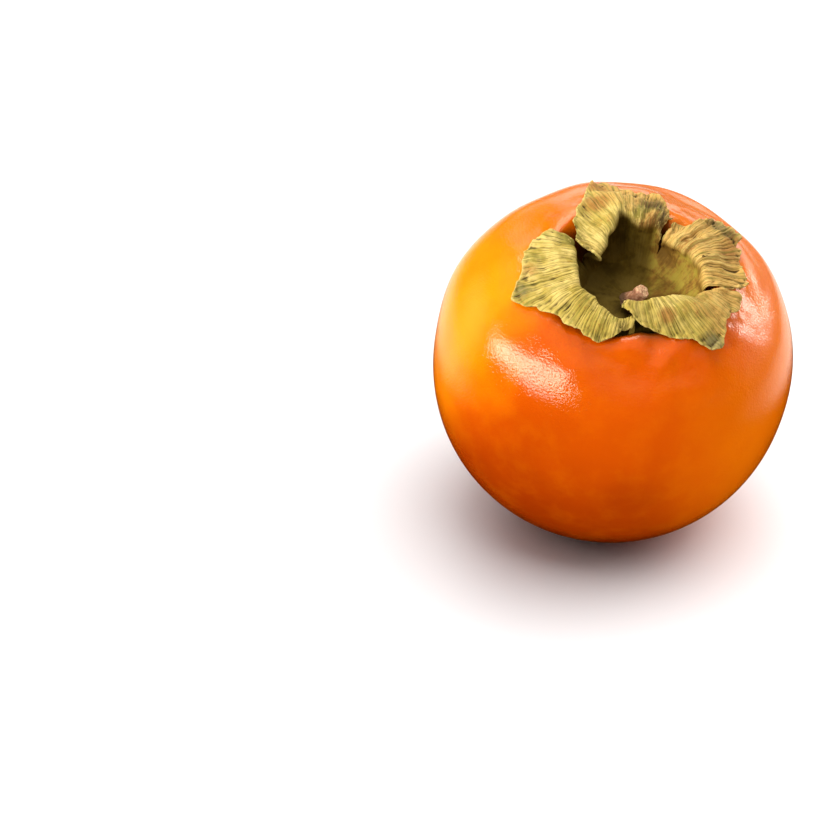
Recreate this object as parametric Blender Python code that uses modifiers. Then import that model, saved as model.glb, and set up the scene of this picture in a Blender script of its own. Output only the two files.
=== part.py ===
"""A whole persimmon, as picked: the fruit, its woody calyx cup, four dried sepals, the stem
stub and the dry style tip at the blossom end.

Run it with: blender --background --python part.py

Lengths below are millimetres and MM turns them into Blender's metres. The fruit's own axes
have their origin at the middle of its widest ring and +Z along the stem. The whole fruit then
leans, and rests on a small flat spot whose centre is the world's origin, with +Z up.
"""

import math

import bmesh
import bpy
from mathutils import Matrix, Vector

MM = 0.001

# Fruit: two superellipses share the widest ring, and a well takes the calyx.
GIRTH_RADIUS = 38.6
CROWN_HEIGHT = 34.5
CROWN_POWER = 2.35
BOWL_HEIGHT = 38.5
BOWL_POWER = 2.1
WELL_DEPTH = 12.0
WELL_FLOOR_RADIUS = 9.0
WELL_MOUTH_RADIUS = 21.0
FRUIT_SEGMENTS = 48
FRUIT_RINGS = 36

# How it rests: the stem leans right (+X) and forward (-Y), on a pressed flat spot.
LEAN_RIGHT_DEG = 6.0
LEAN_FORWARD_DEG = 22.0
FLAT_SPOT_DEPTH = 0.9

# The calyx sits a little forward of the fruit's middle.
CALYX_OFFSET = Vector((-0.2, -1.8, 0.0))

# Profiles to turn, as radius and height. The cup's heights are from the widest ring, the
# stem's from its foot, and the style tip's from the bowl's lowest point.
CUP_PROFILE = (
    (0.0, 23.85),
    (7.2, 23.95),
    (10.15, 24.95),
    (11.35, 26.3),
    (12.0, 26.6),
    (12.45, 26.2),
    (11.75, 24.8),
    (9.0, 23.3),
    (7.0, 22.95),
    (0.0, 22.95),
)
STEM_PROFILE = (
    (0.0, 5.6),
    (1.45, 5.5),
    (2.0, 4.9),
    (1.9, 3.6),
    (1.65, 2.5),
    (1.8, 1.6),
    (2.8, 0.5),
    (2.5, 0.0),
    (0.0, 0.0),
)
TIP_PROFILE = (
    (0.0, -0.5),
    (1.3, -0.7),
    (0.9, -1.2),
    (0.25, -1.6),
    (0.0, -1.6),
)
CUP_STEPS = 40
STEM_STEPS = 20
TIP_STEPS = 12

# The stem stub leans to the right, off the middle of the cup. Its foot is clear of the floor.
STEM_FOOT = Vector((-1.1, -4.2, 25.35))
STEM_TILT_DEG = 22.0

# Sepals: a sheet that climbs from the cup's rim, bulges outwards, turns in again to a lip,
# folds over it and lies on the shoulder.
SEPAL_THICKNESS = 0.8
BASE_RADIUS = 12.0
BASE_HEIGHT = 27.1
BULGE_RADIUS = 12.6
BULGE_PAST_LIP = 1.0
LIP_INSIDE_FOLD = 1.4
LIP_UNDER_FOLD = 1.6
CREST_INSIDE_FOLD = 0.4
CREST_RISE = 0.2
SKIN_CLEARANCE = 1.3
FLAP_CLEARANCE = 0.3
CREST_RADIUS = 20.5

# Rows of a sheet between its base and its fold, and between its fold and its edge, as shares
# of the turn, of the radius and of the height.
BULGE_TURN, BULGE_RISE = 0.1, 0.5
LIP_TURN = 0.7
SHOULDER_ROW = (0.3, 0.25, 0.12)
FLAP_ROW = (0.65, 0.62, 0.55)

# Each sepal has the ends of its base on the cup's rim, in degrees about the stem from +X, and
# its veins, from its left side to its right as seen from the stem. A vein is the direction,
# radius and height of the sheet's fold, then the direction and radius of the sheet's edge and
# how far the edge is lifted off the shoulder.
SEPALS = {
    "sepal_left": {
        "base": (261, 151),
        "veins": (
            (263, 13.6, 32.2, 263, 16.4, 0.4),
            (250, 14.8, 33.4, 252, 19.0, 0.1),
            (236, 14.0, 34.0, 241, 21.6, 0.1),
            (220, 13.2, 34.2, 227, 20.6, 0.2),
            (205, 13.4, 34.3, 210, 21.6, 0.2),
            (193, 13.8, 34.4, 194, 27.2, 0.2),
            (180, 13.4, 34.4, 182, 23.8, 0.2),
            (166, 14.4, 34.3, 166, 23.6, 0.3),
            (151, 16.2, 32.8, 151, 20.8, 0.3),
        ),
    },
    "sepal_front": {
        "base": (349, 269),
        "veins": (
            (352, 16.4, 33.9, 351, 20.4, 0.3),
            (342, 15.0, 34.7, 341, 22.2, 0.3),
            (331, 13.6, 34.8, 330, 21.2, 0.4),
            (321, 12.0, 35.2, 321, 22.4, 0.3),
            (311, 10.2, 35.4, 312, 25.8, 0.2),
            (299, 9.2, 35.4, 302, 19.6, 0.2),
            (286, 9.0, 35.3, 291, 17.0, 0.3),
            (271, 9.4, 35.0, 277, 13.4, 0.9),
            (255, 10.4, 35.0, 256, 11.6, 2.6),
        ),
    },
    "sepal_right": {
        "base": (58, 356),
        "veins": (
            (57, 12.8, 32.6, 60, 16.4, 0.8),
            (48, 11.8, 33.8, 52, 19.6, 1.0),
            (39, 11.6, 34.6, 43, 28.0, 1.6),
            (30, 12.2, 35.0, 35, 27.8, 1.4),
            (21, 13.2, 35.0, 25, 25.0, 0.9),
            (12, 13.8, 34.8, 14, 23.2, 0.3),
            (4, 13.9, 34.4, 4, 23.0, 0.3),
            (357, 14.6, 33.2, 356, 22.0, 0.3),
        ),
    },
    "sepal_back": {
        "base": (146, 63),
        "veins": (
            (154, 9.4, 32.4, 150, 12.6, 1.6),
            (146, 9.4, 33.4, 144, 15.0, 1.5),
            (136, 9.9, 34.6, 135, 18.6, 1.4),
            (124, 10.6, 35.6, 122, 20.6, 1.3),
            (113, 12.2, 36.2, 111, 25.0, 1.4),
            (104, 15.4, 36.5, 103, 30.6, 2.0),
            (98, 14.8, 36.2, 94, 25.6, 1.2),
            (89, 11.6, 35.9, 85, 22.6, 0.8),
            (78, 12.2, 36.1, 77, 23.2, 0.8),
            (69, 14.0, 35.2, 69, 20.6, 0.8),
            (63, 12.9, 32.6, 64, 16.8, 0.8),
        ),
    },
}

# Soft dents and swellings of the shoulder: direction, radius, push along the skin and reach.
SHOULDER_PUSHES = (
    (147, 25.0, -1.0, 10.0),
    (263, 24.0, -1.0, 10.0),
    (350, 26.0, -0.9, 10.0),
    (62, 26.0, -1.0, 10.0),
    (200, 30.0, 0.5, 14.0),
    (305, 30.0, 0.5, 14.0),
    (25, 30.0, 0.6, 14.0),
    (105, 30.0, 0.5, 14.0),
    (69, 33.2, 0.8, 17.0),
    (118, 33.5, -0.4, 10.0),
    (154, 37.5, 0.8, 11.0),
)


def smooth_step(share):
    """0 to 1 with level ends."""
    share = min(1.0, max(0.0, share))
    return share * share * (3.0 - 2.0 * share)


def polar(azimuth_deg, radius, height):
    angle = math.radians(azimuth_deg)
    return Vector((radius * math.cos(angle), radius * math.sin(angle), height))


def well_depth(radius):
    """How far the stem's well lowers the crown at this radius."""
    width = WELL_MOUTH_RADIUS - WELL_FLOOR_RADIUS
    return WELL_DEPTH * (1.0 - smooth_step((radius - WELL_FLOOR_RADIUS) / width))


def crown_height(radius):
    """Height of the skin above the widest ring, on the stem's side."""
    share = min(1.0, radius / GIRTH_RADIUS)
    dome = CROWN_HEIGHT * (1.0 - share**CROWN_POWER) ** (1.0 / CROWN_POWER)
    return dome - well_depth(radius)


def skin_point(azimuth, latitude):
    """A point of the skin, from the angles of a point on a ball. Angles are in radians."""
    crown = latitude > 0.0
    height, power = (CROWN_HEIGHT, CROWN_POWER) if crown else (BOWL_HEIGHT, BOWL_POWER)
    radius = GIRTH_RADIUS * max(0.0, math.cos(latitude)) ** (2.0 / power)
    level = math.copysign(height * abs(math.sin(latitude)) ** (2.0 / power), latitude)
    place = Vector((radius * math.cos(azimuth), radius * math.sin(azimuth), level))
    if crown:
        # The well is round the calyx, which stands a little off the middle.
        place.z -= well_depth((place - CALYX_OFFSET).to_2d().length)
    return place


def push(points, centre, direction, reach):
    """Moves the points near centre along direction, fading to nothing at reach."""
    for point in points:
        share = 1.0 - (point - centre).length / reach
        if share > 0.0:
            point += direction * smooth_step(share)


def fruit_axes():
    """Matrix from the fruit's own axes, in metres, to the world, before it is set down."""
    stem = Vector(
        (
            math.tan(math.radians(LEAN_RIGHT_DEG)),
            -math.tan(math.radians(LEAN_FORWARD_DEG)),
            1.0,
        )
    ).normalized()
    right = (Vector((1.0, 0.0, 0.0)) - stem.x * stem).normalized()
    back = stem.cross(right)
    return Matrix((right, back, stem)).transposed().to_4x4()


def material(name, colour, roughness):
    made = bpy.data.materials.new(name)
    made.use_nodes = True
    shader = made.node_tree.nodes["Principled BSDF"]
    shader.inputs["Base Color"].default_value = (*colour, 1.0)
    shader.inputs["Roughness"].default_value = roughness
    shader.inputs["Metallic"].default_value = 0.0
    return made


def add_part(name, mesh, finish, parent):
    mesh.materials.append(finish)
    part = bpy.data.objects.new(name, mesh)
    part.parent = parent
    bpy.data.collections["persimmon"].objects.link(part)
    return part


def finish_mesh(name, bm):
    """A smooth-shaded mesh in metres, from a bmesh in millimetres."""
    bmesh.ops.scale(bm, vec=(MM, MM, MM), verts=bm.verts)
    mesh = bpy.data.meshes.new(name)
    bm.to_mesh(mesh)
    bm.free()
    mesh.shade_smooth()
    return mesh


def set_down(bm, axes):
    """Presses the lowest part of the fruit flat. Returns the centre of the flat spot, in mm."""
    down = -(axes.to_3x3().inverted() @ Vector((0.0, 0.0, 1.0)))
    lowest = max(vert.co.dot(down) for vert in bm.verts)
    floor_distance = lowest - FLAT_SPOT_DEPTH
    pressed = []
    for vert in bm.verts:
        below = vert.co.dot(down) - floor_distance
        if below > 0.0:
            vert.co -= down * below
            pressed.append(vert.co.copy())
    return sum(pressed, Vector()) / len(pressed)


def build_fruit(parent, axes):
    """The fruit, with its well and flat spot. Returns the flat spot's centre, in mm."""
    bm = bmesh.new()
    bmesh.ops.create_uvsphere(bm, u_segments=FRUIT_SEGMENTS, v_segments=FRUIT_RINGS, radius=1.0)
    for vert in bm.verts:
        latitude = math.asin(max(-1.0, min(1.0, vert.co.z)))
        vert.co = skin_point(math.atan2(vert.co.y, vert.co.x), latitude)
    points = [vert.co for vert in bm.verts]
    for azimuth, radius, distance, reach in SHOULDER_PUSHES:
        centre = polar(azimuth, radius, crown_height(radius))
        outward = polar(azimuth, radius, crown_height(radius) * 0.9).normalized()
        push(points, centre, outward * distance, reach)
    flat_spot = set_down(bm, axes)
    skin = material("persimmon_skin", (0.80, 0.17, 0.01), 0.3)
    add_part("fruit", finish_mesh("fruit", bm), skin, parent)
    return flat_spot


def turned(name, profile, steps):
    """A closed solid turned about Z, from a profile that runs down its outer side."""
    mesh = bpy.data.meshes.new(name)
    points = [(radius * MM, 0.0, height * MM) for radius, height in profile]
    mesh.from_pydata(points, [(i, i + 1) for i in range(len(points) - 1)], [])
    part = bpy.data.objects.new(name, mesh)
    screw = part.modifiers.new("turn", "SCREW")
    screw.steps = screw.render_steps = steps
    screw.use_merge_vertices = True
    screw.merge_threshold = 0.00001
    screw.use_smooth_shade = True
    bpy.data.collections["persimmon"].objects.link(part)
    return part


def build_cup(parent, finish):
    """The calyx's fused middle: a saucer on the well's floor with a wall up to the sepals."""
    cup = turned("calyx_cup", CUP_PROFILE, CUP_STEPS)
    cup.location = CALYX_OFFSET * MM
    cup.data.materials.append(finish)
    cup.parent = parent


def rest_height(radius):
    """Height that a sepal rests at: the skin's, bridging the well from the shoulder's crest."""
    return crown_height(max(radius, CREST_RADIUS)) + SKIN_CLEARANCE


def mix(start, end, share):
    return start + (end - start) * share


def turn(start_deg, end_deg):
    """The short way round from one direction to another, in degrees."""
    return (end_deg - start_deg + 180.0) % 360.0 - 180.0


def vein_points(base_azimuth, vein):
    """Cage points along one vein, from the cup's rim, over the fold, to the sheet's edge."""
    fold_azimuth, fold_radius, fold_height, edge_azimuth, edge_radius, lift = vein
    to_fold = turn(base_azimuth, fold_azimuth)
    to_edge = turn(fold_azimuth, edge_azimuth)
    lip_radius, lip_height = fold_radius - LIP_INSIDE_FOLD, fold_height - LIP_UNDER_FOLD
    bulge_radius = max(BULGE_RADIUS, lip_radius + BULGE_PAST_LIP)
    edge_height = rest_height(edge_radius) + lift
    shoulder_turn, shoulder_out, shoulder_drop = SHOULDER_ROW
    flap_turn, flap_out, flap_drop = FLAP_ROW
    flap_radius = mix(fold_radius, edge_radius, flap_out)
    flap_floor = rest_height(flap_radius) + FLAP_CLEARANCE
    return (
        polar(base_azimuth, BASE_RADIUS, BASE_HEIGHT),
        polar(
            base_azimuth + BULGE_TURN * to_fold,
            bulge_radius,
            mix(BASE_HEIGHT, lip_height, BULGE_RISE),
        ),
        polar(base_azimuth + LIP_TURN * to_fold, lip_radius, lip_height),
        polar(fold_azimuth, fold_radius - CREST_INSIDE_FOLD, fold_height + CREST_RISE),
        polar(
            fold_azimuth + shoulder_turn * to_edge,
            mix(fold_radius, edge_radius, shoulder_out),
            mix(fold_height, edge_height, shoulder_drop) + CREST_RISE,
        ),
        polar(
            fold_azimuth + flap_turn * to_edge,
            flap_radius,
            max(mix(fold_height, edge_height, flap_drop), flap_floor),
        ),
        polar(edge_azimuth, edge_radius, edge_height),
    )


def build_sepal(name, sepal, parent, finish):
    """A sheet lofted across its veins, smoothed and given its thickness."""
    start, end = sepal["base"]
    count = len(sepal["veins"])
    step = turn(start, end) / (count - 1)
    veins = [vein_points(start + i * step, vein) for i, vein in enumerate(sepal["veins"])]
    rows = len(veins[0])
    bm = bmesh.new()
    bmesh.ops.create_grid(bm, x_segments=count - 1, y_segments=rows - 1, size=1.0)
    for vert in bm.verts:
        column = round((vert.co.x + 1.0) / 2.0 * (count - 1))
        row = round((vert.co.y + 1.0) / 2.0 * (rows - 1))
        vert.co = veins[column][row]
    sheet = add_part(name, finish_mesh(name, bm), finish, parent)
    sheet.location = CALYX_OFFSET * MM
    smooth = sheet.modifiers.new("smooth", "SUBSURF")
    smooth.levels = smooth.render_levels = 1
    wall = sheet.modifiers.new("thickness", "SOLIDIFY")
    wall.thickness = SEPAL_THICKNESS * MM
    wall.offset = 0.0


def build_stem(parent):
    """The woody stub, flared at its foot and slightly knobbed where it was cut."""
    stem = turned("stem", STEM_PROFILE, STEM_STEPS)
    stem.location = STEM_FOOT * MM
    stem.rotation_euler = (0.0, math.radians(STEM_TILT_DEG), 0.0)
    stem.data.materials.append(material("stem_bark", (0.30, 0.17, 0.10), 0.8))
    stem.parent = parent


def build_style_tip(parent):
    """The dry point at the blossom end, a hair below the skin's lowest ring."""
    tip = turned("style_tip", TIP_PROFILE, TIP_STEPS)
    tip.location = (0.0, 0.0, -BOWL_HEIGHT * MM)
    tip.data.materials.append(material("style_dry", (0.06, 0.035, 0.02), 0.85))
    tip.parent = parent


def clear_scene():
    for leftover in list(bpy.data.objects):
        bpy.data.objects.remove(leftover)
    group = bpy.data.collections.new("persimmon")
    bpy.context.scene.collection.children.link(group)


def main():
    clear_scene()
    axes = fruit_axes()
    middle = bpy.data.objects.new("fruit_axes", None)
    bpy.data.collections["persimmon"].objects.link(middle)
    flat_spot = build_fruit(middle, axes)
    middle.matrix_world = Matrix.Translation(axes @ flat_spot * -MM) @ axes
    calyx_finish = material("dry_calyx", (0.45, 0.36, 0.11), 0.75)
    build_cup(middle, calyx_finish)
    for name, sepal in SEPALS.items():
        build_sepal(name, sepal, middle, calyx_finish)
    build_stem(middle)
    build_style_tip(middle)


main()
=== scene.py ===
# %% [markdown]
# # A persimmon
# This lesson models one ripe persimmon: a glossy orange fruit with a dried calyx, the leafy
# collar that every persimmon keeps, folded out around a short stem. A plain, exact model of its
# eight pieces is ready, and it is loaded first as the frame that everything is built around.

# %% Load the frame
import math
import random

import bmesh
import bpy
from mathutils import Matrix, Vector


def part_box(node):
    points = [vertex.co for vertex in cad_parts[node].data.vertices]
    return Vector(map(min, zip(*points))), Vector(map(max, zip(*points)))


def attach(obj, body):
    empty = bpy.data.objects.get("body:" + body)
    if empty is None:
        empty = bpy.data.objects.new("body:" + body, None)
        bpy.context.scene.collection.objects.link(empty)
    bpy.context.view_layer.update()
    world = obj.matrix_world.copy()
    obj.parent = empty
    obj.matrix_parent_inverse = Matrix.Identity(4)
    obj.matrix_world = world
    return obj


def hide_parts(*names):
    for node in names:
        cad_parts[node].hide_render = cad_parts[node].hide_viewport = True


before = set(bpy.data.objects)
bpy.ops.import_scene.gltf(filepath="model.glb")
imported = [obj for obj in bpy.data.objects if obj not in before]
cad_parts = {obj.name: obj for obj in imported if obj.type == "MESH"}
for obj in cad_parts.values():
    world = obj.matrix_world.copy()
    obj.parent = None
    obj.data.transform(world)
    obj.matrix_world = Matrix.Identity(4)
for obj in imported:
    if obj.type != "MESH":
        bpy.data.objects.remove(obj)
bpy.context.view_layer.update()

MM = 0.001
print("pieces of the frame:", ", ".join(sorted(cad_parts)))

# %% [markdown]
# ## The fruit's own directions
# The fruit doesn't stand upright: it rolled until its stem leaned forward and a little to the
# right. Nearly every part of it is round about that stem, so a place is easiest to give as a
# compass direction about the stem, a distance from it and a height. One helper, `spot`, turns
# those three into a place in the scene. It measures from the middle of the widest ring, and the
# plain fruit's box says where that is: on its right and its front, where it has no ribs, we
# compare the box with how far the same round shape reaches.

# %% The lean, the profile and the middle
LEAN_RIGHT = math.radians(6)
LEAN_FORWARD = math.radians(22)
STEM_WAY = Vector((math.tan(LEAN_RIGHT), -math.tan(LEAN_FORWARD), 1)).normalized()
RIGHT_WAY = (Vector((1, 0, 0)) - STEM_WAY.x * STEM_WAY).normalized()
BACK_WAY = STEM_WAY.cross(RIGHT_WAY)

GIRTH = 38.6
CROWN, CROWN_POWER = 34.5, 2.35
BOWL, BOWL_POWER = 38.5, 2.1
PRESSED = 0.9


def profile_point(degrees):
    """Radius and height of the round skin, in mm, at a latitude, before the well is pulled."""
    height, power = (CROWN, CROWN_POWER) if degrees > 0 else (BOWL, BOWL_POWER)
    angle = math.radians(degrees)
    radius = GIRTH * max(0.0, math.cos(angle)) ** (2 / power)
    return radius, math.copysign(height * abs(math.sin(angle)) ** (2 / power), degrees)


def reach(way):
    """How far the round skin reaches from its middle in one direction, in metres."""
    along = way.dot(STEM_WAY)
    across = math.sqrt(1 - along * along)
    return MM * max(r * across + h * along for r, h in map(profile_point, range(-90, 91)))


low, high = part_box("fruit")
x_way, y_way, z_way = Vector((1, 0, 0)), Vector((0, 1, 0)), Vector((0, 0, 1))
MIDDLE = Vector((high.x - reach(x_way), low.y + reach(-y_way), reach(-z_way) - PRESSED * MM))
CALYX = (-0.2, -1.8)


def spot(azimuth, radius, height, about=CALYX):
    """A place in metres, from a direction in degrees, a radius and a height in mm."""
    angle = math.radians(azimuth)
    right = about[0] + radius * math.cos(angle)
    back = about[1] + radius * math.sin(angle)
    return MIDDLE + MM * (right * RIGHT_WAY + back * BACK_WAY + height * STEM_WAY)


def own(place):
    """The same place as millimetres right, back and up the stem, from the fruit's middle."""
    offset = (place - MIDDLE) / MM
    return offset.dot(RIGHT_WAY), offset.dot(BACK_WAY), offset.dot(STEM_WAY)


print("middle of the fruit, mm:", [round(v / MM, 2) for v in MIDDLE])

# %% [markdown]
# ## Working by hand, from a script
# Every piece below is made with the same tools as in the window: a start, then extrude, spin,
# proportional moves and modifiers. An operator acts on what is selected, so a small helper
# selects one object, or the points that a test names, and nothing else. Each helper is defined
# in the cell that first needs it.

# %% [markdown]
# ## The fruit
# A persimmon is a berry: one smooth, heavy body that grew round its stem. A sculptor would turn
# it on a wheel, and we do the same: draw half of its outline as a chain of points, spin it about
# the stem, and close the seam. A subdivided sphere would do too, but its poles and its even
# rows wouldn't follow this outline, which is flatter on top than below.

# %% Spin the outline and close it


def turn_outline(name, outline, axis, steps):
    """Draws an outline as a chain of points and spins it round an axis through its first point."""
    bpy.ops.object.select_all(action="DESELECT")
    bpy.ops.mesh.primitive_plane_add(size=MM, enter_editmode=True)
    piece = bpy.context.object
    piece.name = piece.data.name = name
    bpy.ops.mesh.merge(type="CENTER")
    bpy.ops.transform.translate(value=outline[0])
    for start, end in zip(outline, outline[1:]):
        bpy.ops.mesh.extrude_region_move(TRANSFORM_OT_translate={"value": end - start})
    bpy.ops.mesh.select_all(action="SELECT")
    bpy.ops.mesh.spin(steps=steps, angle=2 * math.pi, center=outline[0], axis=axis)
    bpy.ops.mesh.select_all(action="SELECT")
    bpy.ops.mesh.remove_doubles(threshold=0.00002)
    bpy.ops.mesh.normals_make_consistent(inside=False)
    return piece


outline = [spot(0, *profile_point(degrees), about=(0, 0)) for degrees in range(-90, 91, 3)]
fruit = turn_outline("persimmon_fruit", outline, STEM_WAY, steps=64)
print("the outline has", len(outline), "points")

# %% [markdown]
# The calyx sits in a well. We pull it down with proportional editing, which is how to make a
# dent with no crease: the picked points move all the way, and their surroundings less and less.
# The soft ribs and dents of the shoulder are pulled the same way, each from one point.

# %% Pull down the well


def pick(piece, test):
    """In edit mode, selects the points that pass the test and says how many."""
    shape = bmesh.from_edit_mesh(piece.data)
    for point in shape.verts:
        point.select = bool(test(point.co))
    shape.select_flush(True)
    bmesh.update_edit_mesh(piece.data)
    return sum(point.select for point in shape.verts)


WELL_DEPTH, WELL_FLOOR, WELL_WALL = 12.0, 9.0, 12.0


def in_well(co):
    right, back, up = own(co)
    return up > 0 and math.hypot(right - CALYX[0], back - CALYX[1]) < WELL_FLOOR


print("points on the well's floor:", pick(fruit, in_well))
bpy.ops.transform.translate(
    value=-WELL_DEPTH * MM * STEM_WAY, use_proportional_edit=True,
    proportional_edit_falloff="SMOOTH", proportional_size=WELL_WALL * MM,
)

# %% Ribs and dents of the shoulder


def pull(piece, place, move, size):
    """Moves the point nearest to place, and its surroundings less and less, out to size."""
    shape = bmesh.from_edit_mesh(piece.data)
    nearest = min(shape.verts, key=lambda point: (point.co - place).length_squared).co.copy()
    pick(piece, lambda co: (co - nearest).length < 1e-7)
    bpy.ops.transform.translate(
        value=move, use_proportional_edit=True, use_proportional_connected=False,
        proportional_edit_falloff="SMOOTH", proportional_size=size * MM,
    )


# Each row is a direction, a radius, how far the skin moves outwards, and how widely.
SHOULDER = (
    (147, 25, -1.0, 10), (263, 24, -1.0, 10), (350, 26, -0.9, 10), (62, 26, -1.0, 10),
    (200, 30, 0.5, 14), (305, 30, 0.5, 14), (25, 30, 0.6, 14), (105, 30, 0.5, 14),
    (69, 33.2, 0.8, 17), (118, 33.5, -0.4, 10), (155, 37.5, 0.5, 15),
)


def skin_height(radius):
    """Height of the shoulder outside the well, in mm."""
    share = min(1, radius / GIRTH)
    return CROWN * (1 - share**CROWN_POWER) ** (1 / CROWN_POWER)


for azimuth, radius, distance, width in SHOULDER:
    place = spot(azimuth, radius, skin_height(radius), about=(0, 0))
    outwards = (place - MIDDLE).normalized()
    pull(fruit, place, distance * MM * outwards, width)
print("the shoulder has", len(SHOULDER), "soft ribs and dents")

# %% [markdown]
# Two more shapes come from rows of small pulls that overlap. Where the front leaf and the left
# leaf part, the skin swells up and hugs the cup. Behind the calyx a shallow groove runs round
# the shoulder: its pulls are closer together than they are wide, so they melt into one line.

# %% Swell the skin round the cup
# Direction, radius, height, rise and width. The last is a dent, behind the left leaf.
LIPS = (
    (250, 16.0, 28.2, 1.7, 5.5), (264, 15.3, 28.0, 2.6, 5.5), (278, 15.3, 28.0, 3.2, 5.5),
    (292, 16.0, 28.2, 2.6, 5.5), (306, 17.0, 28.6, 1.5, 5.5), (262, 14.0, 28.5, 1.2, 3.5),
    (270, 14.0, 28.5, 1.8, 3.8), (279, 14.2, 28.8, 1.9, 3.8), (288, 14.6, 29.0, 1.4, 3.5),
    (148, 16.0, 28.0, -1.5, 5.0),
)
for azimuth, radius, height, rise, width in LIPS:
    pull(fruit, spot(azimuth, radius, height), rise * MM * STEM_WAY, width)
print("pulled", len(LIPS), "places round the cup")

# %% Press a groove round the back of the shoulder
GROOVE_RADIUS, GROOVE_DEPTH, GROOVE_WIDTH = 29.5, 0.35, 5.0
GROOVE_PLACES = range(12, 100, 6)
for azimuth in GROOVE_PLACES:
    place = spot(azimuth, GROOVE_RADIUS, skin_height(GROOVE_RADIUS))
    pull(fruit, place, -GROOVE_DEPTH * MM * (place - MIDDLE).normalized(), GROOVE_WIDTH)
print("the groove is", len(GROOVE_PLACES), "small pulls")

# %% [markdown]
# A ripe fruit is heavy, and its round bottom is pressed flat where it carries the weight. We
# scale the points below the table to no height at all, then smooth the whole with subdivision,
# which leaves a small flat spot with a soft edge.

# %% Press the bottom flat and smooth the whole


def only(piece):
    for other in bpy.context.selected_objects:
        other.select_set(False)
    bpy.context.view_layer.objects.active = piece
    piece.select_set(True)


def modify(piece, kind, **settings):
    """Adds a modifier, sets it and applies it."""
    only(piece)
    step = piece.modifiers.new(kind.lower(), kind)
    for name, value in settings.items():
        setattr(step, name, value)
    bpy.ops.object.modifier_apply(modifier=step.name)


def subdivide(piece, levels):
    modify(piece, "SUBSURF", levels=levels, render_levels=levels)


print("points on the table:", pick(fruit, lambda co: co.z < 0))
bpy.ops.transform.resize(value=(1, 1, 0), center_override=(0, 0, 0))
bpy.ops.object.mode_set(mode="OBJECT")
subdivide(fruit, 2)

# %% [markdown]
# Skin is never quite even near the calyx, where the fruit grew against the leaves. A
# displacement by a cloud texture gives it broad lumps, and finer ones close to the leaves. A
# vertex group is a weight for each point, and it keeps the lumps in a ring round the stem.

# %% Give the shoulder its lumps


def lumps(piece, kind, size, height, coordinates="LOCAL", **extra):
    """Pushes the surface in and out by a texture. Its size is in metres, or in units of the
    map where the coordinates are UV, and its height in mm."""
    if kind == "CREASES":
        pattern = bpy.data.textures.new(piece.name + "_creases", "VORONOI")
        pattern.weight_1, pattern.weight_2 = -1.0, 1.0
    else:
        pattern = bpy.data.textures.new(piece.name + "_lumps", "CLOUDS")
        pattern.noise_type, pattern.noise_depth = kind, 1
    pattern.noise_scale = size
    modify(piece, "DISPLACE", texture=pattern, texture_coords=coordinates, strength=height * MM,
           mid_level=0.5, **extra)


def ring_group(name, middle, half_width):
    """A vertex group round the calyx: 1 at the middle radius, 0 at its edges and below."""
    group = fruit.vertex_groups.new(name=name)
    for point in fruit.data.vertices:
        right, back, up = own(point.co)
        radius = math.hypot(right - CALYX[0], back - CALYX[1])
        weight = max(0.0, 1 - abs(radius - middle) / half_width) * (up > 0)
        group.add([point.index], weight, "REPLACE")


def done(piece, slot, *replaced):
    """Smooth shading, and two of the frame's facts: what it rides on and what it replaces. The
    slot, what it is made of, is not used.
    """
    only(piece)
    bpy.ops.object.shade_smooth()
    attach(piece, "root")
    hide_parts(*replaced)
    print(piece.name, "has", len(piece.data.polygons), "faces")


ring_group("shoulder", middle=22, half_width=10)
ring_group("by_the_leaves", middle=20, half_width=7)
lumps(fruit, "SOFT_NOISE", size=0.008, height=1.0, vertex_group="shoulder")
lumps(fruit, "SOFT_NOISE", size=0.0036, height=0.7, vertex_group="by_the_leaves")
done(fruit, "skin", "fruit")

# %% [markdown]
# ## The calyx cup
# The four leaves of the calyx are fused round the stem into one woody saucer. It is spun from its
# section, which goes out along the floor, over the rim and back underneath, so that it is a real
# thin cup and not a painted disc. Dry tissue is never even, so the cup gets lumps from a
# displacement, and its floor is pulled up where the stem grows out of it.

# %% Turn the cup
# Radius and height of each point, in mm.
CUP_SECTION = (
    (0.0, 23.85), (3.6, 23.9), (7.2, 23.95), (9.2, 24.4), (10.4, 25.2), (11.2, 26.2), (11.9, 26.6),
    (12.4, 26.2), (11.9, 25.2), (10.7, 24.0), (9.0, 23.3), (7.0, 22.95), (3.6, 22.95), (0.0, 22.95),
)
cup_outline = [spot(0, radius, height) for radius, height in CUP_SECTION]
cup = turn_outline("calyx_cup_dried", cup_outline, STEM_WAY, steps=48)
# How far right and back of the fruit's middle the stem stands, in mm.
STEM_FOOT = (-1.1, -4.2)
FLOOR_HEIGHT, FLOOR_RISE, RISE_WIDTH = 23.85, 1.3, 4.5
pull(cup, spot(0, 0, FLOOR_HEIGHT, about=STEM_FOOT), FLOOR_RISE * MM * STEM_WAY, RISE_WIDTH)
bpy.ops.object.mode_set(mode="OBJECT")
subdivide(cup, 2)
lumps(cup, "SOFT_NOISE", size=0.003, height=0.7)
lumps(cup, "HARD_NOISE", size=0.0012, height=0.25)
done(cup, "calyx", "calyx_cup")

# %% [markdown]
# ## The sepals
# Each sepal is a leaf that dried in a roll: it climbs out of the cup, folds over like a collar
# and lies back on the shoulder. Its veins decide its shape, so the veins are what we set out. A
# flat grid is a sheet with an even map on it. One column of its points is dragged onto each vein,
# and subdivision fills in the curved sheet between them. The map goes along, so later patterns
# can run with the veins.

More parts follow.
